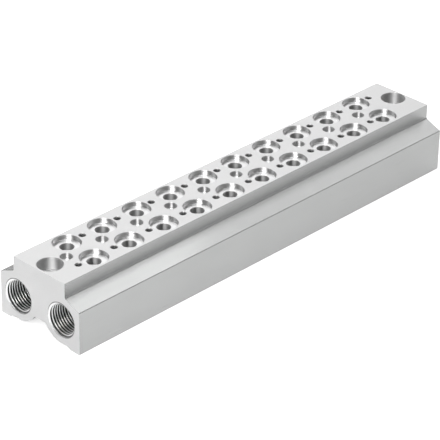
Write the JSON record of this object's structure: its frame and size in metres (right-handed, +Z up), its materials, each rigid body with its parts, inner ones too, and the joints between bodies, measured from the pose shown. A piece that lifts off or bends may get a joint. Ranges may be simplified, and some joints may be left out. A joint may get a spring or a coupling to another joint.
{
  "type": "hydraulic connection block",
  "caption": "Long stepped aluminium manifold bar with rows of counterbored valve seats on top and threaded ports at both ends of its ducts.",
  "frame": {"origin": "middle of the underside, level with the soles of the feet", "axes": "+X along the block, +Y across it to the left-hand duct as seen from the -X end, +Z up out of the valve face"},
  "size_m": [0.305, 0.064, 0.041],
  "materials": {
    "aluminium": "plain extruded and machined aluminium, satin"
  },
  "bodies": {
    "root": {"connection_block": "aluminium"}
  },
  "joints": []
}
